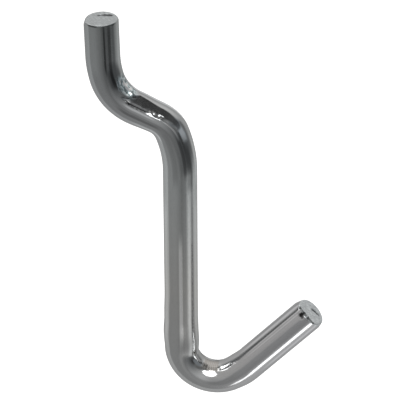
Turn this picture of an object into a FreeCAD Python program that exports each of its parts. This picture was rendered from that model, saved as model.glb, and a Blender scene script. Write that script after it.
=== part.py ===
# A pegboard hook: one length of round steel wire, cropped at both ends and bent in one plane.
# Read from its top end, the wire is a short upright prong that stands behind the board, a sloping
# run that crosses the board's hole, a long upright shank in front of the board, and a tip that
# turns out and up to hold what hangs on it.
#
# Frame, in millimetres: the wire's plane is X = 0, -Y points out of the board to the user, +Z is
# up. The origin is on the wire's axis, halfway along the run that crosses the board.

import FreeCAD, Part
import math
import os

# the wire, and the four lengths that stay straight
wire_diameter = 5.0
prong_length = 5.81
run_length = 3.38
shank_length = 30.7
tip_length = 13.5

# directions, in degrees: the prong's lean away from the board, the run's fall towards the user,
# and the tip's rise above level
prong_lean = 1.2
run_slope = 23.0
tip_rise = 47.8

# Each bend is tight where it was formed round the tool's pin, and easy on the side that sprang
# open. Radii are to the wire's axis, and an easy turn is that share of the bend, in degrees.
top_bend_radius = 6.88
top_easy_radius = 14.8
top_easy_turn = 13.8
shoulder_radius = 4.24
shoulder_easy_radius = 17.15
shoulder_easy_turn = 20.4
foot_bend_radius = 5.0
foot_easy_radius = 13.2
foot_easy_turn = 16.7

# Forming moves the metal. A plus is wire that got thicker in the plane of the bend, and a minus is
# wire that the tool pressed thinner there. Across the plane the wire gives way by a share of it.
shoulder_press = -0.40
heel_swell = 0.25
heel_length = 5.6
toe_swell = 0.15
sideways_share = 0.35
forming_reach = 4.2
section_step = 1.5

# A cropped end: before it broke, the blade drew the wire's end in like a short cone and rolled its
# rim. One side of the rim stayed fuller by the gain. That side is an angle round the wire: 0 is
# the side that the hook opens to, and 90 is -X.
prong_draw_in = 0.34
prong_draw_length = 0.95
prong_rim_round = 0.45
prong_full_gain = 0.2
prong_full_side = -49
tip_draw_in = 0.36
tip_draw_length = 1.37
tip_rim_round = 0.3
tip_full_gain = 0.11
tip_full_side = -171
crop_margin = 0.02

wire_radius = wire_diameter / 2
top_turn = 90 - run_slope - prong_lean
shoulder_turn = 90 - run_slope
foot_turn = 90 + tip_rise
plane_normal = FreeCAD.Vector(1, 0, 0)


def straight(name, length):
    """A stretch of the wire's axis that doesn't bend."""
    return {"name": name, "length": length, "radius": None, "turn": 0.0}


def bend(name, radius, turn_degrees):
    """A stretch that bends at one radius; a plus turns towards the user and up."""
    turn = math.radians(turn_degrees)
    return {"name": name, "length": radius * abs(turn), "radius": radius, "turn": turn}


def stretches():
    """The wire's axis from the prong's end to the tip's end."""
    return [
        straight("prong", prong_length),
        bend("top_easy", top_easy_radius, top_easy_turn),
        bend("top", top_bend_radius, top_turn - top_easy_turn),
        straight("run", run_length),
        bend("shoulder", shoulder_radius, shoulder_easy_turn - shoulder_turn),
        bend("shoulder_easy", shoulder_easy_radius, -shoulder_easy_turn),
        straight("shank", shank_length),
        bend("foot", foot_bend_radius, foot_turn - foot_easy_turn),
        bend("foot_easy", foot_easy_radius, foot_easy_turn),
        straight("tip", tip_length),
    ]


def step_along(out, up, heading, stretch, distance):
    """Where the axis is, and where it heads, that far into a stretch."""
    if stretch["radius"] is None:
        return out + distance * math.cos(heading), up + distance * math.sin(heading), heading
    side = math.copysign(stretch["radius"], stretch["turn"])
    later = heading + distance / side
    out_there = out + side * (math.sin(later) - math.sin(heading))
    up_there = up - side * (math.cos(later) - math.cos(heading))
    return out_there, up_there, later


def laid_out():
    """Each stretch as {name: (start distance, out, up, heading, stretch)}, with the zero point on
    the middle of the run."""
    found = {}
    start, out, up, heading = 0.0, 0.0, 0.0, math.radians(prong_lean - 90)
    for stretch in stretches():
        found[stretch["name"]] = (start, out, up, heading, stretch)
        out, up, heading = step_along(out, up, heading, stretch, stretch["length"])
        start += stretch["length"]
    _, run_out, run_up, run_heading, run = found["run"]
    zero_out, zero_up, _ = step_along(run_out, run_up, run_heading, run, run["length"] / 2)
    return {
        name: (start, out - zero_out, up - zero_up, heading, stretch)
        for name, (start, out, up, heading, stretch) in found.items()
    }


axis_plan = laid_out()


def start_of(name):
    return axis_plan[name][0]


def length_of(name):
    return axis_plan[name][4]["length"]


def end_of(name):
    return start_of(name) + length_of(name)


def on_axis(distance):
    """The axis's point and direction at a distance from the prong's end."""
    for start, out, up, heading, stretch in axis_plan.values():
        if distance <= start + stretch["length"]:
            break
    out, up, heading = step_along(out, up, heading, stretch, distance - start)
    point = FreeCAD.Vector(0, -out, up)
    direction = FreeCAD.Vector(0, -math.cos(heading), math.sin(heading))
    return point, direction


# the formed zones along the axis, each with the place in it where the metal moved most
heel_start = start_of("foot") - heel_length
formed_places = [
    (start_of("shoulder"), shoulder_press, start_of("run"), end_of("shoulder")),
    (start_of("foot") - heel_length / 2, heel_swell, heel_start, start_of("foot")),
    (start_of("foot_easy") + length_of("foot_easy") / 2, toe_swell, end_of("foot"), start_of("tip")),
]


def thickness_gain(distance):
    """How much thicker than the drawn wire the section is in the plane of the bend."""
    gain = 0.0
    for middle, amount, zone_start, zone_end in formed_places:
        reach = min(forming_reach, middle - zone_start, zone_end - middle)
        away = abs(distance - middle)
        if away < reach:
            gain += amount * math.cos(away / reach * math.pi / 2) ** 2
    return gain


def section(distance):
    """The wire's closed outline there: a circle, or an ellipse where the metal moved."""
    point, direction = on_axis(distance)
    gain = thickness_gain(distance) / wire_diameter
    wide = direction.cross(plane_normal) * (1 + gain)
    deep = plane_normal * (sideways_share * gain - 1)
    placed = FreeCAD.Matrix(
        wide.x, deep.x, direction.x, point.x,
        wide.y, deep.y, direction.y, point.y,
        wide.z, deep.z, direction.z, point.z,
        0, 0, 0, 1,
    )
    return Part.Wire([Part.makeCircle(wire_radius)]).transformGeometry(placed)


def formed(first, last):
    """The wire between two distances where the metal moved, through a section at every step."""
    steps = math.ceil((last - first) / section_step)
    sections = [section(first + (last - first) * k / steps) for k in range(steps + 1)]
    return Part.makeLoft(sections, True, False)


def formed_stretch(name):
    return formed(start_of(name), end_of(name))


def turned(name):
    """A whole bend where the section stayed round: a disc carried round the bend's centre."""
    stretch = axis_plan[name][4]
    point, direction = on_axis(start_of(name))
    way = math.copysign(1, stretch["turn"])
    centre = point + direction.cross(plane_normal) * (way * stretch["radius"])
    disc = Part.Face(Part.Wire([Part.makeCircle(wire_radius, point, direction)]))
    return disc.revolve(centre, plane_normal * -way, math.degrees(abs(stretch["turn"])))


def drawn(first, last):
    """The wire between two distances of one straight stretch."""
    point, direction = on_axis(first)
    return Part.makeCylinder(wire_radius, last - first, point, direction)


def round_side(direction, angle_degrees):
    """The way out of the wire at that angle round it."""
    angle = math.radians(angle_degrees)
    opening_side = direction.cross(plane_normal)
    return opening_side * math.cos(angle) - plane_normal * math.sin(angle)


def cropped(rod, end, inward, full_side, draw_in, draw_length, rim_round, full_gain):
    """A straight rod with one end drawn in, its rim rolled, and fuller on one side."""
    base = end + full_side * (full_gain / 2)
    radius = wire_radius + full_gain / 2 + crop_margin
    face_rim = base + plane_normal * (radius - draw_in)
    full_rim = base + plane_normal * radius + inward * draw_length
    beyond = inward * (rod.BoundBox.DiagonalLength + wire_diameter)
    far_rim = base + plane_normal * radius + beyond
    outline = Part.makePolygon([base, face_rim, full_rim, far_rim, base + beyond, base])
    left_by_blade = Part.Face(outline).revolve(base, inward, 360)
    circles = [edge for edge in left_by_blade.Edges if edge.Closed]
    rim = [circle for circle in circles if circle.CenterOfMass.distanceToPoint(base) < crop_margin]
    return rod.common(left_by_blade.makeFillet(rim_round, rim))


def prong():
    """The upright end behind the board."""
    end, direction = on_axis(0)
    rod = drawn(0, end_of("prong"))
    full_side = round_side(direction, prong_full_side)
    return cropped(
        rod, end, direction, full_side,
        prong_draw_in, prong_draw_length, prong_rim_round, prong_full_gain,
    )


def tip():
    """The rising end that stops what hangs on the hook from sliding off."""
    end, direction = on_axis(end_of("tip"))
    rod = drawn(start_of("tip"), end_of("tip"))
    full_side = round_side(direction, tip_full_side)
    return cropped(
        rod, end, -direction, full_side,
        tip_draw_in, tip_draw_length, tip_rim_round, tip_full_gain,
    )


def hook():
    """The whole wire as one solid, from its pieces' faces without those where two pieces meet."""
    pieces = [
        prong(),
        turned("top_easy"),
        turned("top"),
        formed_stretch("run"),
        formed_stretch("shoulder"),
        turned("shoulder_easy"),
        drawn(start_of("shank"), heel_start),
        formed(heel_start, end_of("shank")),
        turned("foot"),
        formed_stretch("foot_easy"),
        tip(),
    ]
    meetings = [on_axis(end_of(name))[0] for name in axis_plan if name != "tip"]
    meetings.append(on_axis(heel_start)[0])
    outside = []
    for face in [face for piece in pieces for face in piece.Faces]:
        inner = [m for m in meetings if face.CenterOfMass.distanceToPoint(m) < crop_margin]
        if not (isinstance(face.Surface, Part.Plane) and inner):
            outside.append(face)
    shell = Part.makeShell(outside)
    shell.sewShape()
    return Part.makeSolid(shell)


os.makedirs("parts", exist_ok=True)
wire = hook()
wire.exportStep("parts/hook.step")

box = wire.optimalBoundingBox()
print("hook: solids", len(wire.Solids), "valid", wire.isValid(), "volume", round(wire.Volume, 1))
print("size", round(box.XLength, 2), round(box.YLength, 2), round(box.ZLength, 2))
print("wire length", round(end_of("tip"), 2))
for name in ("prong", "run", "shank", "tip"):
    print(name, "starts at", [round(value, 2) for value in on_axis(start_of(name))[0]])
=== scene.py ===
# %% [markdown]
# # A pegboard hook bent from one length of plated wire
#
# The imported model gives the place and the size of the hook, and this lesson dresses it. Everything
# below is in the imported model's frame: the wire bends in the plane X = 0, the user is at -Y and up
# is +Z. The model's own box is kept.

# %% Load the frame
import bpy
import math
import numpy as np
from mathutils import Matrix, Vector, noise


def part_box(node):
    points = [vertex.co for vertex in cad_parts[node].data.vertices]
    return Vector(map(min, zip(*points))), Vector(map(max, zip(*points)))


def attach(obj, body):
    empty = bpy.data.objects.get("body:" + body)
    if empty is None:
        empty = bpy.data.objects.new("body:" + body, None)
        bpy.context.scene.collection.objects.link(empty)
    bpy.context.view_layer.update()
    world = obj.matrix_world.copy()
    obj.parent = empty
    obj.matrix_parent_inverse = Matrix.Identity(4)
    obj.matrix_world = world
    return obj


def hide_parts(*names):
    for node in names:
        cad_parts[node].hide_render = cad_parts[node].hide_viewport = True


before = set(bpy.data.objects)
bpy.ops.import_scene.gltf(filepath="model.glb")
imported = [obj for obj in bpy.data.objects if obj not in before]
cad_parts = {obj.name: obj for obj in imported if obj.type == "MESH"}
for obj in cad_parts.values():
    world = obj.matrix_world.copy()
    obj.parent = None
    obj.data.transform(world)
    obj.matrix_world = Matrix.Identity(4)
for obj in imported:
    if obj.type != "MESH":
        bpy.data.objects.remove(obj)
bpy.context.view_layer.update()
low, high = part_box("hook")
print("frame", sorted(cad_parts), "from", list(low), "to", list(high))

# %% [markdown]
# ## The wire's axis
#
# The real hook was a straight wire once, and a bending tool folded it in four places. So the axis is
# written as the bender would write it: go straight so far, then turn so many degrees round a pin of
# that radius. Each bend is tight where it met the pin and easy where it sprang open. A curve object
# with a round bevel could follow the same points, but it would leave no way to press, swell or nick
# the wire, so the skin is built ring by ring on this axis.

# %% The stretches of the wire, in millimetres and degrees
mm = 0.001
wire_radius = 2.5
run_slope, prong_lean, tip_rise = 23.0, 1.2, 47.8

prong_length, run_length, shank_length, tip_length = 5.81, 3.38, 30.7, 13.5
top_radius, top_easy_radius, top_easy_turn = 6.88, 14.8, 13.8
shoulder_radius, shoulder_easy_radius, shoulder_easy_turn = 4.24, 17.15, 20.4
foot_radius, foot_easy_radius, foot_easy_turn = 5.0, 13.2, 16.7

STRAIGHT = None
stretches = {
    # name: the radius to the axis, and a length or a turn; a plus turns to the user and up
    "prong": (STRAIGHT, prong_length),
    "top_easy": (top_easy_radius, top_easy_turn),
    "top": (top_radius, 90 - run_slope - prong_lean - top_easy_turn),
    "run": (STRAIGHT, run_length),
    "shoulder": (shoulder_radius, run_slope + shoulder_easy_turn - 90),
    "shoulder_easy": (shoulder_easy_radius, -shoulder_easy_turn),
    "shank": (STRAIGHT, shank_length),
    "foot": (foot_radius, 90 + tip_rise - foot_easy_turn),
    "foot_easy": (foot_easy_radius, foot_easy_turn),
    "tip": (STRAIGHT, tip_length),
}
print("stretches from the top:", ", ".join(stretches))

# %% [markdown]
# The frame's zero point is the middle of the run that crosses the board, so the stretches are laid
# out once from the prong's end, and then everything is moved by where the middle of the run came.

# %% Lay the stretches out
def stretch_length(radius, amount):
    """A straight stretch's length, or the length of a bend of that many degrees."""
    return amount if radius is STRAIGHT else radius * math.radians(abs(amount))


def step_along(out, up, heading, radius, turn, distance):
    """Where the axis is, and where it heads, that far into a stretch."""
    if radius is STRAIGHT:
        return out + distance * math.cos(heading), up + distance * math.sin(heading), heading
    side = math.copysign(radius, turn)
    later = heading + distance / side
    out += side * (math.sin(later) - math.sin(heading))
    up -= side * (math.cos(later) - math.cos(heading))
    return out, up, later


starts = {}
wire_length, there = 0.0, (0.0, 0.0, math.radians(prong_lean - 90))
for name, (radius, amount) in stretches.items():
    length = stretch_length(radius, amount)
    starts[name] = (wire_length, there)
    there = step_along(*there, radius, amount, length)
    wire_length += length

zero_out, zero_up, _ = step_along(*starts["run"][1], STRAIGHT, 0, run_length / 2)


def on_axis(distance):
    """The axis's distance out from the board, its height and its heading, that far along."""
    for name in reversed(stretches):
        start, there = starts[name]
        if distance >= start:
            break
    radius, amount = stretches[name]
    out, up, heading = step_along(*there, radius, amount, distance - start)
    return out - zero_out, up - zero_up, heading


def start_of(name):
    return starts[name][0]


def end_of(name):
    return start_of(name) + stretch_length(*stretches[name])


print("wire", round(wire_length, 2), "mm long; ends at", [round(v, 2) for v in on_axis(wire_length)])

# %% [markdown]
# ## How thick the wire is
#
# Forming moves the metal. The press squeezed the wire where the run turns down into the shank, and
# pushed some of it together at the heel and the toe of the lower bend. Each such place is a smooth
# hump along the axis. The section grows or shrinks by it in the plane of the bend, and gives way a
# little the other way across it.

# %% Where forming moved the metal
shoulder_press, heel_swell, toe_swell = -0.40, 0.25, 0.15
sideways_share = 0.35
forming_reach = 4.2
heel_length = 5.6

heel_start = start_of("foot") - heel_length
toe_middle = (start_of("foot_easy") + end_of("foot_easy")) / 2
formed_places = [
    # where the metal moved most, how much, and the two ends of the zone
    (start_of("shoulder"), shoulder_press, start_of("run"), end_of("shoulder")),
    (start_of("foot") - heel_length / 2, heel_swell, heel_start, start_of("foot")),
    (toe_middle, toe_swell, end_of("foot"), start_of("tip")),
]


def thickness_gain(distance):
    """How much thicker than the drawn wire the section is in the plane of the bend."""
    gain = 0.0
    for middle, amount, zone_start, zone_end in formed_places:
        reach = min(forming_reach, middle - zone_start, zone_end - middle)
        away = np.abs(distance - middle)
        gain = gain + np.where(away < reach, amount * np.cos(away / reach * np.pi / 2) ** 2, 0)
    return gain


print("formed most at", [round(middle, 1) for middle, *_ in formed_places], "mm from the prong's end")

# %% [markdown]
# ## Marks on the skin
#
# The bender left its prints where it held the wire: a flat pressed on the near side of the run with
# a crease below it that is only painted shade, a lump and rough scuffs in the hollow of the top bend,
# and a worn seat in the lower bend. They could be painted as bump alone, but a flat turns the
# reflection of a whole patch, so the prints are pressed into the mesh. Places on the skin are given
# as a distance along the wire and an angle round it: 0 is the side that the hook opens to, and 90
# faces -X.
#
# Metal has few sharp borders, so every mark starts from a soft step. The helpers below make bands,
# patches and ovals out of it, and add uneven ground for torn metal.

# %% Soft edges
skin_margin = 0.004
skin_radius = wire_radius - skin_margin


def smooth(value, edge_low, edge_high):
    """0 below one edge, 1 above the other, and smooth between."""
    share = np.clip((value - edge_low) / (edge_high - edge_low), 0, 1)
    return share * share * (3 - 2 * share)


def window(value, first, last, blur):
    """1 between two edges, and 0 outside them."""
    return smooth(value, first - blur, first + blur) * (1 - smooth(value, last - blur, last + blur))


def on_patch(patch, past, angle):
    """1 on a patch, given as first, last and blur along the wire and the same round it."""
    along_wire, round_wire = patch
    return window(past, *along_wire) * window(angle, *round_wire)


def from_oval(oval, past, angle):
    """0 in the middle of an oval and 1 on its edge, given as middle and reach, along and round."""
    (middle, reach), (side, spread) = oval
    return np.hypot((past - middle) / reach, (angle - side) / spread)


print("the plain skin lies", skin_radius, "mm from the axis")

# %% Flats and uneven ground
widest_flat = 60


def flat_distance(nearest, angle, facing):
    """How far from the axis a flat is at an angle, if its middle is that near to the axis."""
    away = np.clip(angle - facing, -widest_flat, widest_flat)
    return nearest / np.cos(np.radians(away))


def pressed_flat(angle, middle_angle, half_angle):
    """How deep a flat goes whose edges lie at half_angle on both sides of its middle."""
    nearest = skin_radius * np.cos(np.radians(half_angle))
    return np.maximum(skin_radius - flat_distance(nearest, angle, middle_angle), 0)


def lumps(spots):
    """Noise at each point, from about -1 to 1, with lumps about one unit across."""
    values = [noise.noise(Vector(spot)) for spot in spots.reshape(-1, 3)]
    return np.array(values).reshape(spots.shape[:-1])


def ragged(along, angle, size, seed, stretch=1.0):
    """Uneven ground on the skin whose lumps are of that size in millimetres."""
    turned = np.radians(angle)
    round_wire = [skin_radius * np.sin(turned), skin_radius * np.cos(turned)]
    spots = np.stack([*round_wire, along / stretch], -1)
    return lumps(spots / size + seed)


print("a flat that reaches 30 degrees each way is", round(float(pressed_flat(0, 0, 30)), 2), "mm deep")

# %% [markdown]
# ### The print on the run
#
# The flat is widest where it starts, cut off slantwise towards the top bend, and runs out on the
# shoulder. Further on, its lower edge is broken into crumbs and the metal is smeared over it. Below
# its first half runs a crease that has no depth: it is only painted shade. A thin sliver is raised at
# the crease's upper end. The flat's dark is a painted dark reflection. The flat could be cut with a
# boolean, but its soft borders and crumbs are easier as a depth that is taken off the skin. Every
# function for a print gives two things: how deep it is, for the mesh, and a mask for the material,
# which on the run is the painted shade and the painted dark reflection.

# %% The sizes of the flat, its crease and its crumbs
# places in mm past the run's start and in degrees round the wire
flat_start, flat_length, flat_shares = 0.1, 4.4, (-0.4, 1.3)
flat_middle, flat_middle_shift = 35.5, 4.5
flat_half_width, flat_narrowing = 24.5, 6.5
flat_fade = (4.9, 6.4)
slant_start, slant_angle, slant, slant_blur = 0.04, 11, 0.066, 0.14

# patches, each from first to last with a blur
crumb_patch = ((2.0, 4.1, 0.3), (45, 62, 3))
crease_patch = ((-1.9, 1.8, 0.2), (56.0, 63.5, 1.0))
sliver_patch = ((-2.35, -1.3, 0.08), (54.5, 59, 1.2))
lip_patch = ((1.6, 5.6, 0.4), (60.5, 64, 1.5))

crumb_size, crumb_depth, crumb_spread = 0.42, 0.07, 6
sliver_rise, lip_height = 0.17, 0.02
# painted dark reflection on the flat and painted shade in the crease, and how much the crumbs take off
painted_dark_from_depth, painted_dark_angles = 0.02, (8, 60, 1.5)
crease_shade_level, crumb_shine = 1.25, 0.75
smear_share, smear_angles, smear_spread = 0.85, (42, 52), 8
print("the flat starts about", round(start_of("run") + flat_start, 1), "mm from the prong's end")


# %% The print on the run
def flat_on_run(past, angle, crumbs, crumbled):
    """How deep the flat alone is."""
    share = np.clip((past - flat_start) / flat_length, *flat_shares)
    slanted = past - slant_start + (angle - slant_angle) * slant
    inside = smooth(slanted, -slant_blur, slant_blur) * (1 - smooth(past, *flat_fade))
    half_width = flat_half_width - flat_narrowing * share + crumb_spread * crumbs * crumbled
    return pressed_flat(angle, flat_middle + flat_middle_shift * share, half_width) * inside


def run_print(along, angle):
    """How deep the tool went on the run, and its painted dark reflection and painted shade."""
    past = along - start_of("run")
    crumbs = ragged(along, angle, crumb_size, seed=3.0)
    crumbled = on_patch(crumb_patch, past, angle)
    flat = flat_on_run(past, angle, crumbs, crumbled)
    sliver_start = sliver_patch[0][0]
    sliver = sliver_rise * (past - sliver_start) * on_patch(sliver_patch, past, angle)
    lip = lip_height * on_patch(lip_patch, past, angle)
    depth = flat - lip + crumb_depth * crumbs * crumbled - sliver

    smeared = smear_share * smooth(angle + smear_spread * crumbs, *smear_angles)
    # painted dark reflection on the flat, lessened where smeared or crumbled, and painted shade in the
    # crease
    dark = smooth(flat, 0.0, painted_dark_from_depth) * window(angle, *painted_dark_angles) * (1 - smeared)
    crease_shade = crease_shade_level * on_patch(crease_patch, past, angle + crumbs)
    return depth, np.maximum(dark * (1 - crumb_shine * crumbled), crease_shade)


tried_place, tried_angle = np.array([[start_of("run") + 2]]), np.array([[flat_middle]])
tried_depth, _ = run_print(tried_place, tried_angle)
print("two millimetres on, the flat's middle is", round(tried_depth.item(), 2), "mm deep")

# %% [markdown]
# ### The hollow of the top bend
#
# The metal piled up in front of the tool as a smooth lump with a pit beside it, and the tool's cheek
# dragged grooves over the skin round it. They could be sculpted by hand, but that can't be run again
# when a size changes. Lump and pit are ovals, and the grooves are the same uneven ground as the
# crumbs, drawn out three times as long as wide.

# %% The lump, the pit and the scuffs
lump_oval, lump_height = ((-1.9, 1.7), (16, 27)), 0.12
pit_oval, pit_depth = ((-2.75, 0.5), (33, 9)), 0.12
scuff_size, scuff_stretch, scuff_depth, scuff_spread = 0.38, 3.0, 0.12, 8
scuffed_along, scuffed_first, scuffed_last, scuffed_blur = (-6.4, -1.0, 0.9), 0, 44, 7


def hollow_print(along, angle):
    """How deep the tool went in the hollow of the top bend, and how scuffed the skin is there, which also
    carries a painted sheen.
    """
    past = along - start_of("run")
    lump = lump_height * (1 - smooth(from_oval(lump_oval, past, angle), 0.0, 1.0))
    pit = pit_depth * (1 - smooth(from_oval(pit_oval, past, angle), 0.2, 1.0))
    grooves = ragged(along, angle, scuff_size, seed=11.0, stretch=scuff_stretch)
    last = scuffed_last + scuff_spread * grooves
    reach = window(past, *scuffed_along) * window(angle, scuffed_first, last, scuffed_blur)
    # the scuffed reach also lays a painted bluish sheen on the plating's colour
    return pit - lump + scuff_depth * grooves * reach, reach


print("the lump stands", lump_height, "mm proud")

# %% [markdown]
# ### The lower bend
#
# The pin that this bend was folded round left its seat worn, with faint rings across it. At the toe
# its corner bit in and left a small facet, tilted towards the back, with a step along its lower
# side. The facet looks past the shank at the lamp at the left, so it shines. Just over the bend the
# heel is a little fuller than its swell alone, on the back and on the seat's side. The rings are two
# waves along the wire, a fine one and a broad one, because a pin turned on a lathe leaves such rings.

# %% The worn seat, the facet and the full heel
# places in mm past the foot's start and in degrees round the wire
worn_patch, worn_between_rings = ((4.9, 9.2, 0.35), (-8, 40, 3)), 0.6
ring_depth, rings_per_mm = 0.012, 11.4
wave_depth, waves_per_mm, wave_start = 0.02, 2.1, 1
facet_patch = ((9.75, 12.5, 0.15), (23.5, 36.5, 0.8))
facet_middle, facet_half_width = 38, 14.5
heel_facing = -10
heel_back, heel_back_along = 0.09, (-8, 0.5, 2)
heel_front, heel_front_along = 0.14, (-1.5, 0.5, 1.4)
heel_hollow, heel_hollow_along = 0.06, (-4.0, -2.5, 1.2)


def full_heel(past, angle):
    """How far the heel stands out of the swollen section."""
    facing = np.cos(np.radians(angle - heel_facing))
    back = heel_back * window(past, *heel_back_along) * smooth(-facing, 0.3, 1)
    front = heel_front * window(past, *heel_front_along)
    hollow = heel_hollow * window(past, *heel_hollow_along)
    return back + (front - hollow) * smooth(facing, 0.2, 1)


def seat_print(along, angle):
    """How deep the pin went in the seat of the lower bend, and how worn the skin is there, which also
    carries a painted reflection.
    """
    past = along - start_of("foot")
    rings = np.sin(past * rings_per_mm)
    waves = np.sin(past * waves_per_mm + wave_start)
    worn = on_patch(worn_patch, past, angle)
    facet = pressed_flat(angle, facet_middle, facet_half_width) * on_patch(facet_patch, past, angle)
    depth = (ring_depth * rings + wave_depth * waves) * worn + facet - full_heel(past, angle)
    # the worn mask also lays a beige painted reflection, in bands along the rings
    return depth, worn * (worn_between_rings + (1 - worn_between_rings) * rings)


print("the seat is worn from", round(start_of("foot") + worn_patch[0][0], 1), "mm from the prong's end")

# %% [markdown]
# ## The cropped ends
#
# The wire was cropped by a blade. Before it broke, the blade drew the wire's end in like a short
# cone and rolled its rim, and left one side of the rim fuller. The last rings before an end follow
# that outline: the cone, and then a quarter circle that meets both the cone and the cut. The side
# that faced the blade stayed square.

# %% The rim of a cropped end
rim_margin = 0.02
square_drop, square_reach, square_spread = 0.05, 0.08, (45, 85)
ends = {
    # lengths in millimetres; the fuller side and the square side are angles round the wire
    "prong": {
        "draw_in": 0.34, "length": 0.95, "round": 0.45,
        "full_gain": 0.2, "full_side": -49, "square_side": 90,
    },
    "tip": {
        "draw_in": 0.36, "length": 1.37, "round": 0.3,
        "full_gain": 0.11, "full_side": -171, "square_side": 74,
    },
}


def rim_radius(end, from_end, angle):
    """The skin's distance from the axis, that far from the cut."""
    shape = ends[end]
    slope = math.atan2(shape["draw_in"], shape["length"])
    rolled = shape["round"]
    corner = shape["draw_in"] * (1 - rolled / shape["length"]) + rolled / math.cos(slope)
    cone = shape["draw_in"] * np.clip(1 - from_end / shape["length"], 0, 1)
    past_roll = np.clip(rolled - from_end, 0, rolled)
    curl = corner - np.sqrt(np.maximum(rolled**2 - past_roll**2, 0))
    drop = np.where(from_end < rolled * (1 - math.sin(slope)), curl, cone)
    fuller = shape["full_gain"] / 2 * (1 + np.cos(np.radians(angle - shape["full_side"])))
    drawn = smooth(np.abs(angle - shape["square_side"]), *square_spread)
    square = square_drop * (1 - smooth(from_end, 0, square_reach))
    return np.minimum(skin_radius - square, wire_radius + rim_margin + fuller - drop * drawn)


print("rims for the", " and the ".join(ends))

# %% [markdown]
# The blade came to the tip from the near side. There it left a straight edge instead of a round one,
# chipped in a few places, with one bigger chip at its upper end. The break and the chips are painted
# dark as shade. Under the prong's rim two small shadows are painted, with no depth.

# %% The tip's chipped edge and the painted shadows under the prong's rim
blade_side = 71
edge_nearest, edge_rise = 1.91, 4.0
edge_crumb_size, edge_crumb_squash, edge_crumb_depth, edge_crumb_fade = 0.33, 0.6, 0.10, (0.1, 0.5)
break_shade_level, break_angles, break_fade, break_crumbs = 0.8, (33, 108, 4), (0.08, 0.2), (-0.4, 0.1)
chip_raggedness, chip_core = 0.35, 0.55
tip_chips = [
    # middle and reach from the cut, middle and reach round the wire, depth, painted shade
    ((0.48, 0.66), (57, 15), 0.14, 1.3),
    ((0.25, 0.40), (44, 7), 0.10, 0.2),
    ((0.05, 0.35), (33, 7), 0.08, 1.1),
    ((0.10, 0.22), (84, 7), 0.06, 1.1),
    ((0.05, 0.30), (109, 5), 0.05, 1.2),
]
rim_shadow_along = (0.06, 0.30, 0.05)
rim_shadows = [(1.0, (93, 127, 5)), (0.8, (31, 45, 4))]


def tip_edge(from_end, angle):
    """How far from the axis the blade cut the near side of the tip, and its painted shade."""
    crumbs = ragged(from_end * edge_crumb_squash, angle, edge_crumb_size, seed=21.0)
    crumbled = edge_crumb_depth * crumbs * (1 - smooth(from_end, *edge_crumb_fade))
    nearest = edge_nearest + edge_rise * from_end + crumbled
    edge = np.minimum(flat_distance(nearest, angle, blade_side), skin_radius)
    near_cut = 1 - smooth(from_end, *break_fade)
    # painted shade along the broken edge
    dark = break_shade_level * near_cut * window(angle, *break_angles) * smooth(crumbs, *break_crumbs)
    for from_cut, round_wire, depth, painted_darkness in tip_chips:
        away = from_oval((from_cut, round_wire), from_end, angle)
        chip = 1 - smooth(away + chip_raggedness * crumbs, chip_core, 1.0)
        edge = edge - depth * chip
        dark = np.maximum(dark, painted_darkness * chip)
    return edge, dark


def rim_shadow_darkness(from_end, angle):
    """How dark the two painted shadows under the prong's rim are."""
    marked = sum(painted_darkness * window(angle, *reach) for painted_darkness, reach in rim_shadows)
    return window(from_end, *rim_shadow_along) * marked


print(len(tip_chips), "chips along the tip's edge and", len(rim_shadows), "marks under the prong's rim")

# %% [markdown]
# ## The skin
#
# Rings of points are set square to the axis, close enough that a print of the tool spans several of
# them, and closer still over the rims.

# %% Where the rings are
around = 120
ring_step = 0.14
rim_rings = np.array([0, 0.01, 0.03, 0.07, 0.12, 0.19, 0.27, 0.36, 0.47, 0.6, 0.75, 0.92, 1.1, 1.29])
rim_zone = 2

angles = np.arange(around) * 360 / around - 180
rim_reach = rim_rings[-1] + ring_step
body_length = wire_length - 2 * rim_reach
body_rings = np.linspace(rim_reach, wire_length - rim_reach, round(body_length / ring_step))
ring_places = np.concatenate([rim_rings, body_rings, wire_length - rim_rings[::-1]])
along, angle = np.meshgrid(ring_places, angles, indexing="ij")
from_tip = wire_length - along
print(len(ring_places), "rings of", around, "points")

# %% [markdown]
# Every print is a depth, so it is simply taken off the plain skin. Noise is slow in Python, so each
# print is only worked out for the rings round it, and the same goes for the two rims.

# %% Press the prints into the skin
def rings_round(name, before, after):
    """Which rings lie that far before and after a stretch's start."""
    return (ring_places > start_of(name) - before) & (ring_places < start_of(name) + after)


skin = np.full(along.shape, skin_radius)
pressed, scuffed, worn = np.zeros(along.shape), np.zeros(along.shape), np.zeros(along.shape)

round_run = rings_round("run", 8, 6.5)
run_depth, pressed[round_run] = run_print(along[round_run], angle[round_run])
hollow_depth, scuffed[round_run] = hollow_print(along[round_run], angle[round_run])
skin[round_run] -= run_depth + hollow_depth

round_seat = rings_round("foot", 11, 14)
seat_depth, worn[round_seat] = seat_print(along[round_seat], angle[round_seat])
skin[round_seat] -= seat_depth

at_prong, at_tip = ring_places < rim_zone, ring_places > wire_length - rim_zone
skin[at_prong] = np.minimum(skin[at_prong], rim_radius("prong", along[at_prong], angle[at_prong]))
skin[at_tip] = np.minimum(skin[at_tip], rim_radius("tip", from_tip[at_tip], angle[at_tip]))
edge, pressed[at_tip] = tip_edge(from_tip[at_tip], angle[at_tip])
skin[at_tip] = np.minimum(skin[at_tip], edge)
pressed += rim_shadow_darkness(along, angle)
nearest, farthest = round(skin.min(), 2), round(skin.max(), 2)
print("the flat goes", round(run_depth.max(), 2), "mm deep; the skin is", nearest, "to", farthest, "mm out")

# %% [markdown]
# Every point is first given on the straight wire: how far towards the opening side, how far sideways
# and how far along. Then it is carried to where the bent wire has it. The straight place is kept
# with the point, because the plating's lines and scuffs are drawn in it, and so they follow the wire
# round its bends, as they do on the real one. Near a cut the steel is bare: a narrow rim of it
# shows at the tip, and at the prong on the sides away from the blade.

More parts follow.
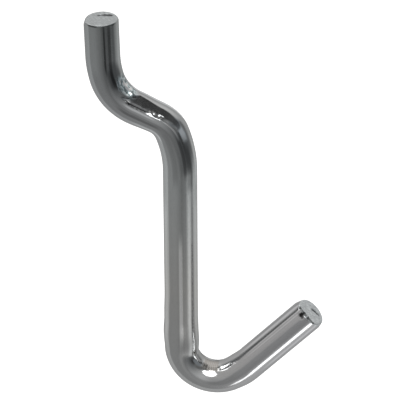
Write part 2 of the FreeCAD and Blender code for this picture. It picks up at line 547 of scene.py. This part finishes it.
# %% Bend the skin
def placed(along, inward, sideways):
    """Points given on the straight wire, carried to where the bent wire has them."""
    out, up, heading = np.array([on_axis(value) for value in along[:, 0]]).T[:, :, None]
    gain = thickness_gain(along) / (2 * wire_radius)
    inward = inward * (1 + gain)
    sideways = sideways * (1 - sideways_share * gain)
    out = out - inward * np.sin(heading)
    up = up + inward * np.cos(heading)
    return np.stack([-sideways, -out, up], -1) * mm


inward = skin * np.cos(np.radians(angle))
sideways = skin * np.sin(np.radians(angle))
skin_points = placed(along, inward, sideways)
straight_points = np.stack([sideways, inward, along], -1)

bare_start, bare_reach, sharp_step = 0.05, 0.3, 0.001
blade_middle, blade_edges = 90, (60, 90)
tip_bare_edges = (0.12, 0.35)
away_from_blade = smooth(np.abs(angle - blade_middle), *blade_edges)
prong_reach = np.maximum(bare_reach * away_from_blade, sharp_step)
prong_bare = 1 - smooth(along, bare_start, bare_start + prong_reach)
tip_bare = 1 - smooth(from_tip, *tip_bare_edges)
sheared = np.maximum(prong_bare, tip_bare)
print("skin of", skin_points.shape[0] * skin_points.shape[1], "points")

# %% [markdown]
# ## The cut faces
#
# A single polygon would close an end of the wire, but it couldn't be torn. So each cut face is the
# last ring shrunk in steps to its middle, and its relief has points to sit on. The shear tore it a
# little: the ground is uneven, and curved gouges lie near the far rim.

# %% Gouges and torn ground
face_rings = 28
face_shares = np.concatenate([np.linspace(0.97, 0.04, face_rings), [0.0]])
ground_depth, ground_relief, ground_edge = 0.02, 0.035, (1.7, 2.2)
tears = (2.6, 0.9, 1.0)
tear_slant = 0.7

# each gouge: its middle inward and sideways, its bow, its half width and its depth
prong_gouges = [(0.1, -1.1, 0.1, 0.36, 0.3), (0.7, -1.25, 0.1, 0.5, 0.2)]
tip_gouges = [(-0.75, -0.62, 0.08, 0.3, 0.26)]
# the gouges are painted dark as shade, from the first of the last pair of depths to the second
gouge_fade, gouge_floor, gouge_shade_depths = (0.2, 1.1), 0.2, (0.02, 0.12)


def gouge(face_in, face_side, middle_in, middle_side, bow, half_width, depth):
    """A curved groove across a face, deepest in its middle."""
    across = face_side - middle_side - bow * (face_in - middle_in) ** 2
    ends_fade = 1 - smooth(np.abs(face_in - middle_in), *gouge_fade)
    return depth * (1 - smooth(np.abs(across), gouge_floor * half_width, half_width)) * ends_fade


def torn_ground(face_in, face_side, seed):
    """How far the uneven ground of a face sits behind the cut."""
    slanted = [face_in + tear_slant * face_side, face_side - tear_slant * face_in]
    spots = np.stack([*slanted, 0 * face_in + seed], -1)
    inside = 1 - smooth(np.hypot(face_in, face_side), *ground_edge)
    return (ground_depth + ground_relief * lumps(spots * tears)) * inside


print(len(prong_gouges + tip_gouges), "gouges in the cut faces")

# %% Close the two ends
def cut_face(ring, end_distance, outward, seed, gouges):
    """One cut face from rim to middle: in the model, on the straight wire, and the painted shade in its
    gouges.
    """
    face_in = inward[ring] * face_shares[:, None]
    face_side = sideways[ring] * face_shares[:, None]
    gouged = np.max([gouge(face_in, face_side, *shape) for shape in gouges], axis=0)
    ahead_of_cut = -outward * (torn_ground(face_in, face_side, seed) + gouged)
    _, _, heading = on_axis(end_distance)
    ahead = np.array([0, -math.cos(heading), math.sin(heading)])
    flat = placed(np.full(face_in.shape, end_distance), face_in, face_side)
    in_model = flat + ahead_of_cut[..., None] * ahead * mm
    on_straight = np.stack([face_side, face_in, end_distance + ahead_of_cut], -1)
    return in_model, on_straight, smooth(gouged, *gouge_shade_depths)


prong_face, prong_straight, prong_gouge_shade = cut_face(0, 0.0, -1, 4.0, prong_gouges)
tip_face, tip_straight, tip_gouge_shade = cut_face(-1, wire_length, 1, 9.0, tip_gouges)
points = np.concatenate([prong_face[::-1], skin_points, tip_face])
straight = np.concatenate([prong_straight[::-1], straight_points, tip_straight])


def over_all(on_prong, on_skin, on_tip):
    """One number for each point, from the prong's face along the skin to the tip's face."""
    blank = np.ones(prong_face.shape[:2])
    return np.concatenate([(on_prong * blank)[::-1], on_skin, on_tip * blank])


marks = {
    "cut": over_all(1, sheared, 1),
    "pressed": over_all(prong_gouge_shade, pressed, tip_gouge_shade),
    "scuffed": over_all(0, scuffed, 0),
    "worn": over_all(0, worn, 0),
}
print("marks for the finish:", ", ".join(marks))

# %% [markdown]
# ## One mesh
#
# The faces join each ring to the next. They could be added one by one, but with eighty thousand
# points it is quicker to hand Blender all of them at once. What the finish needs to know goes along
# as attributes of the points: their place on the straight wire, how far they are cut, how much
# painted shade and painted dark reflection they carry, and how far they are scuffed, with a painted
# sheen, or worn, with a painted reflection.

# %% The hook as one mesh
rows = len(points)
corner = np.arange(rows * around).reshape(rows, around)
beside = np.roll(corner, -1, axis=1)
quads = np.stack([corner[:-1], beside[:-1], beside[1:], corner[1:]], -1).reshape(-1, 4)

mesh = bpy.data.meshes.new("hook_wire")
mesh.from_pydata(points.reshape(-1, 3).tolist(), [], quads.tolist())
mesh.attributes.new("straight_wire", "FLOAT_VECTOR", "POINT")
mesh.attributes["straight_wire"].data.foreach_set("vector", straight.astype(np.float32).ravel())
for mark, amounts in marks.items():
    mesh.attributes.new(mark, "FLOAT", "POINT")
    mesh.attributes[mark].data.foreach_set("value", amounts.astype(np.float32).ravel())
mesh.shade_smooth()

hook_wire = bpy.data.objects.new("hook_wire", mesh)
bpy.context.scene.collection.objects.link(hook_wire)
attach(hook_wire, "root")
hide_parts("hook")
print("mesh", len(mesh.vertices), "points", len(mesh.polygons), "faces")

# %% [markdown]
# ## Writing shader maths as Python
#
# A material is a graph of nodes, and sums in it take many small nodes. This class wraps one output
# of the graph, so that `1 - mask * 0.3` adds the nodes for it. Any other node comes from one method
# that makes the node's settings first and then fills or links its sockets.

# %% A wrapped socket
class Value:
    """One output in a node graph, on which sums can be written."""

    def __init__(self, graph, socket):
        self.graph, self.socket = graph, socket

    def math_node(self, operation, *values):
        return self.graph.node("Math", {"operation": operation}, dict(enumerate(values)))

    def __add__(self, other):
        return self.math_node("ADD", self, other)

    def __sub__(self, other):
        return self.math_node("SUBTRACT", self, other)

    def __rsub__(self, other):
        return self.math_node("SUBTRACT", other, self)

    def __mul__(self, other):
        return self.math_node("MULTIPLY", self, other)

    def __truediv__(self, other):
        return self.math_node("DIVIDE", self, other)

    def __rtruediv__(self, other):
        return self.math_node("DIVIDE", other, self)

    def __abs__(self):
        return self.math_node("ABSOLUTE", self)

    __radd__, __rmul__ = __add__, __mul__

    def at_least(self, other):
        return self.math_node("MAXIMUM", self, other)

    def clipped(self):
        """Held between 0 and 1."""
        return self.graph.node("Clamp", {}, {"Value": self})

    def rising(self, first, last):
        """0 below the first value, 1 above the last, and smooth between."""
        settings = {"interpolation_type": "SMOOTHSTEP"}
        return self.graph.node("MapRange", settings, {"Value": self, 1: first, 2: last})


print("a socket can now be added, multiplied and clipped")

# %% A graph and its one method for nodes
def set_stops(elements, stops):
    """Give a ramp its colours, as {place from 0 to 1: colour}."""
    while len(elements) < len(stops):
        elements.new(0.5)
    for element, (spot, colour) in zip(elements, sorted(stops.items())):
        element.position = spot
        element.color = (*colour, 1)


class Graph:
    """The node graph of one material or world."""

    def __init__(self, owner):
        owner.use_nodes = True
        self.tree = owner.node_tree
        self.tree.nodes.clear()

    def node(self, kind, settings, inputs, output=0):
        """Add a node and give its output, by place or by name, if it has one."""
        made = self.tree.nodes.new("ShaderNode" + kind)
        for name, setting in settings.items():
            if name == "stops":
                set_stops(made.color_ramp.elements, setting)
            else:
                setattr(made, name, setting)
        for name, value in inputs.items():
            if isinstance(value, Value):
                self.tree.links.new(value.socket, made.inputs[name])
            else:
                made.inputs[name].default_value = value
        return Value(self, made.outputs[output]) if made.outputs else None

    def blend(self, share, first, second):
        """The first colour where the share is 0 and the second where it is 1."""
        inputs = {"Factor": share, 6: first, 7: second}
        return self.node("Mix", {"data_type": "RGBA"}, inputs, output=2)

    def times(self, vector, factors):
        """A vector or a colour, multiplied part by part."""
        return self.node("VectorMath", {"operation": "MULTIPLY"}, {0: vector, 1: factors})

    def ray(self, kind):
        """1 for rays of that kind: Camera, Glossy or Transmission."""
        return self.node("LightPath", {}, {}, output=f"Is {kind} Ray")


def grey(level, warmth=0.0):
    """A near neutral colour; a plus is warmer and a minus is cooler."""
    return (level * (1 + warmth), level, level * (1 - warmth), 1)


print("a graph can now be written as sums")

# %% [markdown]
# ## The plating
#
# Zinc or chrome on drawn wire is a mirror with faults. The drawing die left fine lines along it, and
# the barrel in which the hooks were plated left small scratches. The colour is darker towards the
# prong. A photograph of plated wire wrapped round would show all that, but only from one side. Here
# nearly every fault is noise, drawn in the coordinates of the straight wire, so that the lines run
# along the wire and round its bends.

# %% Where a point lies on the straight wire
plating = bpy.data.materials.new("bright_plating")
metal = Graph(plating)


def mark_of(name):
    return metal.node("Attribute", {"attribute_name": name}, {}, output=2)


straight_place = metal.node("Attribute", {"attribute_name": "straight_wire"}, {}, output=1)
parts = [metal.node("SeparateXYZ", {}, {"Vector": straight_place}, output=k) for k in range(3)]
from_side, from_inside, from_prong = parts
round_angle = from_side.math_node("ARCTAN2", from_side, from_inside) * (180 / math.pi)
cut, painted_shade_mask, scuffs_and_sheen, worn_reflection_mask = [mark_of(name) for name in marks]
print("the plating knows its place on the wire and", len(marks), "marks")

# %% [markdown]
# The faults come in several sizes: drawn lines that run far along the wire, short scratches, cloudy
# patches where the plating took less well, and fine grains. Each is a number from 0 to 1 that
# colour, roughness and bump can share, so a line that looks dark is also dull and also dented. The
# sheared steel has lines of its own, slanted across the cut face.

# %% Lines, scratches and clouds
def uneven(across, lengthwise, detail=3.0, roughness=0.55):
    """Noise from 0 to 1 with that many lumps a millimetre across and along the wire."""
    spots = metal.times(straight_place, (across, across, lengthwise))
    inputs = {"Vector": spots, "Scale": 1.0, "Detail": detail, "Roughness": roughness}
    return metal.node("TexNoise", {}, inputs)


drawn_lines = uneven(5.0, 0.12)
fine_lines = uneven(14.0, 0.5)
scratches = (1 - abs(uneven(3.2, 0.9, detail=2.0) - 0.5) * 22).clipped()
clouds = uneven(0.9, 0.45)
grains = uneven(7.0, 5.0)
dragged = uneven(2.0, 0.9, detail=1.5).rising(0.42, 0.6)

tear_angle = math.radians(35)
turn_settings = {"rotation_type": "Z_AXIS"}
slanted_place = metal.node("VectorRotate", turn_settings, {"Vector": straight_place, "Angle": tear_angle})
tear_spots = metal.times(slanted_place, (7.0, 1.2, 1.0))
torn_lines = metal.node("TexNoise", {}, {"Vector": tear_spots, "Scale": 1.0, "Detail": 3.0})
print("seven kinds of fault")

# %% [markdown]
# The wire also has broader streaks of painted reflection, lighter or darker than the rest, that stand
# for bright and dark parts of the room mirrored along it. Their places can't come from noise, so they
# are listed one by one, from the prong to the tip. A streak that reaches past an end of the wire runs
# right up to the cut.

# %% Painted reflection streaks along the wire
past_tip = wire_length + 5
streak_core = 0.3
fading_share, longest_fading = 0.25, 5.0
reflection_streaks = [
    # angle round the wire, half width, first and last distance, lighter or darker
    (71, 4.5, -1.3, 9.0, -0.62),
    (54, 8, -2.0, 12.0, -0.6),
    (60, 13, 6.8, 11.2, -0.35),
    (11, 14, -2.0, 9.0, 0.25),
    (112, 22, -2.0, 9.0, 0.18),
    (-15, 13, -1.0, 9.0, -0.3),
    (93, 7, 12.5, 21.0, -0.4),
    (70, 4.5, 13.0, 19.4, 0.6),
    (51, 5, 13.2, 18.0, 1.0),
    (120, 6, 15.5, 23.5, 0.35),
    (96, 14, 19.0, 31.0, -0.25),
    (59.5, 4, 19.4, 23.2, 1.0),
    (38, 15, 20.9, 23.7, 0.9),
    (62, 8, 21.4, 29.5, -0.5),
    (12, 10, 22.0, 31.0, 0.25),
    (46, 16, 22.8, 32.0, -0.4),
    (37, 7, 31.0, 59.0, -0.4),
    (15, 16, 31.0, 58.0, 0.22),
    (50, 6, 31.0, 58.0, 0.15),
    (143, 14, 31.0, 60.0, 0.25),
    (81, 9, 37.0, 60.0, 0.8),
    (72, 24, 58.0, 67.5, 0.45),
    (-16, 15, 60.5, 70.0, -0.3),
    (24, 8, 65.0, 73.5, 0.35),
    (6, 6, 73.0, past_tip, -0.2),
    (19, 7, 73.0, past_tip, 0.35),
    (31, 4.5, 73.0, past_tip, -0.25),
    (37.5, 4, 73.0, past_tip, 0.4),
    (47.5, 3, 73.5, past_tip, 0.25),
    (125, 8, 74.0, past_tip, 0.4),
    (172, 24, -5.0, past_tip, -0.3),
]


def on_streak(middle, half_width, first, last):
    """1 on a streak along the wire at one angle round it, in degrees, between two distances."""
    away = 180 - abs(180 - abs(round_angle - middle))
    fading = min(fading_share * (last - first), longest_fading)
    fade = from_prong.rising(first, first + fading) * (1 - from_prong.rising(last - fading, last))
    return (1 - away.rising(half_width * streak_core, half_width)) * fade


# painted reflections: each streak makes the plating's colour lighter or darker along a band
painted_reflections = 1.0
for *where, change in reflection_streaks:
    painted_reflections = painted_reflections * (1 + on_streak(*where) * change)
print(len(reflection_streaks), "reflection_streaks")

# %% [markdown]
# The colour of the plating follows the wire from its prong to its tip. Light and dark come from the
# faults and from the streaks of painted reflection. The scuffs have a painted bluish sheen, and the
# worn seat is matt with a beige painted reflection. The print on the run carries a painted dark
# reflection and is nearly black; its crease, the chips, the gouges and the marks under the prong's
# rim are painted shade; and the cut ends are bare grey steel, painted lighter at the tip.

# %% Colour
along_wire = {
    # distance from the prong's end: colour
    0: (0.40, 0.42, 0.42),
    8: (0.43, 0.45, 0.455),
    15: (0.49, 0.50, 0.51),
    30: (0.575, 0.60, 0.60),
    48: (0.58, 0.58, 0.565),
    62: (0.55, 0.56, 0.56),
    74: (0.58, 0.585, 0.595),
    87: (0.595, 0.60, 0.615),
}
# painted sheen: the scuffs turn the plating towards this bluish colour
scuff_sheen_colour = (0.52, 0.62, 0.64, 1)
# painted reflection: the worn seat turns the plating towards this beige colour
warm_reflection_colour = (0.68, 0.62, 0.56, 1)
bare_steel = (0.50, 0.525, 0.535)


def shaded(colour, amount):
    """A colour made darker or lighter by a number."""
    three = metal.node("CombineXYZ", {}, {0: amount, 1: amount, 2: amount})
    return metal.times(colour, three)


stops = {distance / wire_length: colour for distance, colour in along_wire.items()}
clean = metal.node("ValToRGB", {"stops": stops}, {"Fac": from_prong / wire_length})
shade = (0.93 + drawn_lines * 0.10 + clouds * 0.06 - scratches * 0.05) * painted_reflections
# painted sheen: the scuffs lighten the plating in streaks; the worn seat is made darker
shade = shade * (1 + scuffs_and_sheen * (dragged * 1.5 - 0.4)) * (1 + worn_reflection_mask * (fine_lines * 0.6 - 0.6))
tinted = metal.blend(scuffs_and_sheen * 0.8, clean, scuff_sheen_colour)
tinted = metal.blend(worn_reflection_mask * 0.7, tinted, warm_reflection_colour)

# painted light: the tip's cut face is made lighter than the prong's, though both are the same steel
painted_light_on_tip = 1 + from_prong.rising(30.0, 60.0) * 0.22
steel = shaded(bare_steel, (0.45 + torn_lines * 1.5) * painted_light_on_tip)
# painted shade and painted dark reflection from the marks darken the plating and the steel
painted_darkness = painted_shade_mask * (0.79 - grains * 0.12)
colour = shaded(metal.blend(cut, shaded(tinted, shade), steel), 1 - painted_darkness)
print("colour runs through", len(along_wire), "stops")

# %% [markdown]
# Polished plating is nearly a mirror. Every fault makes it a little duller, the prints more so, and
# the torn steel most. The relief that is too fine for the mesh is a bump of a few thousandths of a
# millimetre, out of the same faults.

# %% Roughness and relief
bump_height = 0.004 * mm
edge_tint = (0.72, 0.72, 0.72, 1)

roughness = 0.05 + drawn_lines * 0.05 + clouds * 0.06 + scratches * 0.06
roughness = roughness + scuffs_and_sheen * 0.2 + painted_shade_mask * 0.14 + worn_reflection_mask * 0.14 + cut * 0.30
height = drawn_lines * 0.3 + fine_lines * 0.12 + scratches * -0.25 + grains * 0.1
height = height + scuffs_and_sheen * fine_lines * 1.5 + painted_shade_mask * grains * 0.6
height = height + cut * (grains * 3.0 + torn_lines * 6.0)
bump = metal.node("Bump", {}, {"Strength": 1.0, "Distance": bump_height, "Height": height})
surface = metal.node("BsdfPrincipled", {}, {
    "Base Color": colour,
    "Metallic": 1.0,
    "Roughness": roughness,
    "Normal": bump,
    "Specular Tint": edge_tint,
})
metal.node("OutputMaterial", {}, {"Surface": surface})
mesh.materials.append(plating)
print("plating of", len(metal.tree.nodes), "nodes")

# %% [markdown]
# ## The room
#
# Bright metal shows the room more than itself. To judge by its reflections, the hook hung in front
# of white paper, in a grey room that is dark in front of the hook and over it, with a big soft lamp
# over the camera and a smaller one at its left. Real walls and sheets could be built round it, but a
# small object sees them all from one spot. So the paper and the room's darker and lighter parts are
# cards, painted on the world by direction, and only the two lamps are real ones.
# A card is given by where it hangs: degrees round the hook from the user's side, degrees up, and
# how far it reaches sideways and up.

# %% What a card is
studio = bpy.data.worlds.new("studio")
room = Graph(studio)
looking = room.node("TexCoord", {}, {}, output="Generated")
widest_reach, nearest_depth, turned_away = 89, 0.001, 0.05


def toward(turned, raised):
    """The direction that many degrees round from the user's side and up."""
    turned, raised = math.radians(turned), math.radians(raised)
    level = math.cos(raised)
    return Vector((math.sin(turned) * level, -math.cos(turned) * level, math.sin(raised)))


def along_with(direction, vector):
    """How much a direction goes along with a vector."""
    return room.node("VectorMath", {"operation": "DOT_PRODUCT"}, {0: direction, 1: vector}, output=1)


def card(turned, raised, sideways, upward, edge):
    """1 where a card is seen, 0 beside it; its sizes and its soft edge are in degrees."""
    ahead = toward(turned, raised)
    side = toward(turned + 90, 0)
    above = side.cross(ahead)
    depth = along_with(looking, ahead)
    near = depth.at_least(nearest_depth)
    seen = depth.rising(0.0, turned_away)
    for across, reach in ((side, sideways), (above, upward)):
        inner = math.tan(math.radians(max(reach - edge, 0)))
        outer = math.tan(math.radians(min(reach + edge, widest_reach)))
        seen = seen * (1 - abs(along_with(looking, across) / near).rising(inner, outer))
    return seen


print("the world is painted by direction")

# %% Cards round the hook
cards = [
    # name, degrees round and up, reach sideways and up, soft edge, brightness, warmth
    ("light below", 13, -81, 53, 35, 8, 0.70, 0.01),
    ("low at the left", -139, -35, 37, 43, 24, 0.33, 0.0),
    ("dim upper room", -33, 38, 70, 50, 20, 0.43, 0.0),
    ("ceiling behind", 174, 54, 58, 54, 25, 0.50, 0.02),
    ("light ceiling at the right", 95, 52, 45, 26, 18, 0.80, 0.02),
    ("pale wall behind", 106, -23, 55, 50, 24, 0.56, 0.01),
    ("white paper", 85, -19, 6, 29, 12, 1.18, 0.0),
    ("dark front", -20, -11, 36.5, 20.6, 26.6, 0.113, -0.03),
    ("black gap in front", -27, -4, 7, 9, 5, 0.05, 0.0),
    ("light patch", -4, 15, 21, 21, 4, 0.27, -0.06),
    ("dark far side", 19.5, 12, 11, 11, 6, 0.20, 0.0),
    ("dark overhead", -15, 59, 26, 11, 5, 0.13, 0.0),
    ("dark gap", -37.5, 39, 9.5, 27, 5, 0.17, 0.0),
    ("dark at the left", 168, 17, 7, 3, 3, 0.18, 0.0),
    ("strip in front", -19.5, -35, 14, 1.5, 9.6, 0.79, 0.0),
    ("dark strip", 34, -31, 18, 2, 14, 0.55, 0.0),
    ("strip below", -74, -51, 6, 7.5, 3, 2.6, 0.0),
]
bare_walls = grey(0.15)

seen_room = bare_walls
for name, turned, raised, *sizes, level, warmth in cards:
    seen_room = room.blend(card(turned, raised, *sizes), seen_room, grey(level, warmth))
print(len(cards), "cards:", ", ".join(name for name, *_ in cards))

# %% [markdown]
# ## White paper behind
#
# In the photograph the background is pure white. More light on it would spoil the metal, so the
# world answers by the kind of ray that asks. The camera's own rays see white. Rays that bounced off
# the metal see the room, and the same white paper where it hangs behind the hook.

# %% White behind for the camera
paper_behind = card(99, -31, 10, 10, 4)
mirror_ray = room.ray("Glossy") + room.ray("Transmission")
white = (room.ray("Camera") + mirror_ray * paper_behind).clipped()
shown = room.blend(white, seen_room, grey(1.0))
background = room.node("Background", {}, {"Color": shown, "Strength": 1.0})
room.node("OutputWorld", {}, {"Surface": background})
bpy.context.scene.world = studio
print("world of", len(room.tree.nodes), "nodes")

# %% [markdown]
# ## The lamps
#
# The long bright line on a wire is the picture of a soft lamp, so what counts is how big and how
# bright the hook sees it, and not how far away it is. The function takes those two, and works out
# the size and the power from them, so a lamp can grow or move and still look as bright.

# %% Two soft lamps
lamp_distance = 2.0
hook_middle = Vector((0, -0.01, -0.02))


def soft_lamp(name, shape, turned, raised, sideways, upward, brightness):
    """A flat lamp that faces the hook; its reach is in degrees as the hook sees it."""
    data = bpy.data.lights.new(name, "AREA")
    data.shape = shape
    data.size = 2 * lamp_distance * math.tan(math.radians(sideways))
    data.size_y = 2 * lamp_distance * math.tan(math.radians(upward))
    area = data.size * data.size_y * (math.pi / 4 if shape == "ELLIPSE" else 1)
    data.energy = brightness * math.pi * area
    lamp = bpy.data.objects.new(name, data)
    lamp.location = toward(turned, raised) * lamp_distance + hook_middle
    lamp.rotation_mode = "QUATERNION"
    lamp.rotation_quaternion = toward(turned, raised).to_track_quat("Z", "Y")
    bpy.context.scene.collection.objects.link(lamp)
    print(name, [round(v, 3) for v in (data.size, data.size_y, data.energy)])


soft_lamp("lamp_over_camera", "ELLIPSE", -85, 46, 24, 19.5, 3.0)
soft_lamp("lamp_at_left", "RECTANGLE", -164, 37, 6.5, 14, 3.0)

# %% [markdown]
# ## The floor
#
# The hook hangs free over a matt sheet of pale paper, which takes its soft shadow. To the camera the
# sheet also glows a little, so that it ends as white as the background, and in the metal it is the
# even grey that the wire's lower side mirrors. A bigger floor would do nothing more for the picture.

# %% A sheet of pale paper
floor_low = -0.13
floor_corners = [(-0.03, -0.2), (0.6, -0.2), (0.6, 0.4), (-0.03, 0.4)]
paper_glow = 0.6
paper_in_metal = grey(0.56)

floor_mesh = bpy.data.meshes.new("floor")
floor_mesh.from_pydata([(x, y, floor_low) for x, y in floor_corners], [], [(0, 1, 2, 3)])
floor = bpy.data.objects.new("floor", floor_mesh)
bpy.context.scene.collection.objects.link(floor)

paper_floor = bpy.data.materials.new("pale_paper")
sheet = Graph(paper_floor)
matt = sheet.node("BsdfDiffuse", {}, {"Color": grey(0.8)})
glow = sheet.node("Emission", {}, {"Color": grey(1.0), "Strength": sheet.ray("Camera") * paper_glow})
paper_seen = sheet.node("AddShader", {}, {0: matt, 1: glow})
mirrored = (sheet.ray("Glossy") + sheet.ray("Transmission")).clipped()
in_metal = sheet.node("Emission", {}, {"Color": paper_in_metal, "Strength": 1.0})
finished_paper = sheet.node("MixShader", {}, {0: mirrored, 1: paper_seen, 2: in_metal})
sheet.node("OutputMaterial", {}, {"Surface": finished_paper})
floor_mesh.materials.append(paper_floor)
print("floor", -floor_low, "m under the run")

# %% [markdown]
# ## The camera
#
# The hook was photographed from its left side and a little from above, with a long lens that hardly
# makes near parts bigger. The camera could be aimed by angles, but its place and its directions came
# out of matching the wire's outline, so they are written as such: its right, its up and its back.

# %% Camera
camera_place = Vector((-0.30924338, -0.05847176, 0.17161721))
right = Vector((0.15894542, -0.98727746, -0.00442386))
up = Vector((0.50361793, 0.07722365, 0.86046818))
back = Vector((-0.84917921, -0.13899541, 0.50948498))

camera_data = bpy.data.cameras.new("camera")
camera_data.lens = 225
camera_data.sensor_width = 36
camera = bpy.data.objects.new("camera", camera_data)
bpy.context.scene.collection.objects.link(camera)
matrix_rows = [[right[k], up[k], back[k], camera_place[k]] for k in range(3)]
camera.matrix_world = Matrix(matrix_rows + [[0, 0, 0, 1]])
bpy.context.scene.camera = camera
bpy.context.scene.view_settings.view_transform = "Standard"
print("camera", round(camera_place.length, 3), "m from the middle of the run")
